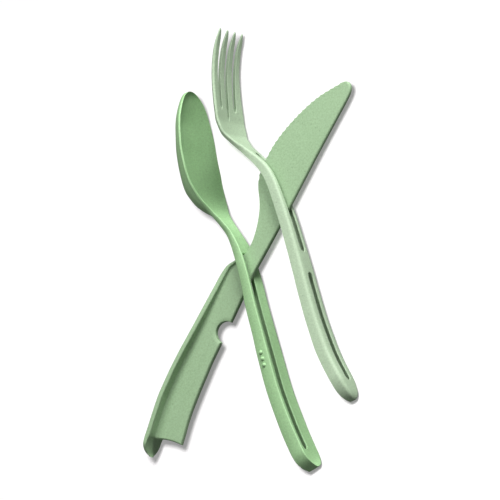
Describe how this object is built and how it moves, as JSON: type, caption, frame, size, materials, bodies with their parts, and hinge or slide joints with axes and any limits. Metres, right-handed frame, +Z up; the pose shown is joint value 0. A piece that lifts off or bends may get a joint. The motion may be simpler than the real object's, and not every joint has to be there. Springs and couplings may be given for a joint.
{
  "type": "plastic cutlery set",
  "caption": "Spoon, fork and serrated knife in speckled plastic, the knife's flat plate threaded through slots in the channel handles of the other two.",
  "frame": {"origin": "middle of the set's box, on the floor", "axes": "+Y towards the tips of the spoon and fork, +Z up from the floor, +X to the side that the knife's tip leans to"},
  "size_m": [0.1078, 0.2088, 0.0347],
  "materials": {
    "spoon_plastic": "fine speckled, pale green",
    "fork_plastic": "fine speckled, pale green",
    "knife_plastic": "fine speckled, pale green"
  },
  "bodies": {
    "root": {"spoon": "spoon_plastic", "fork": "fork_plastic", "knife": "knife_plastic"}
  },
  "joints": []
}
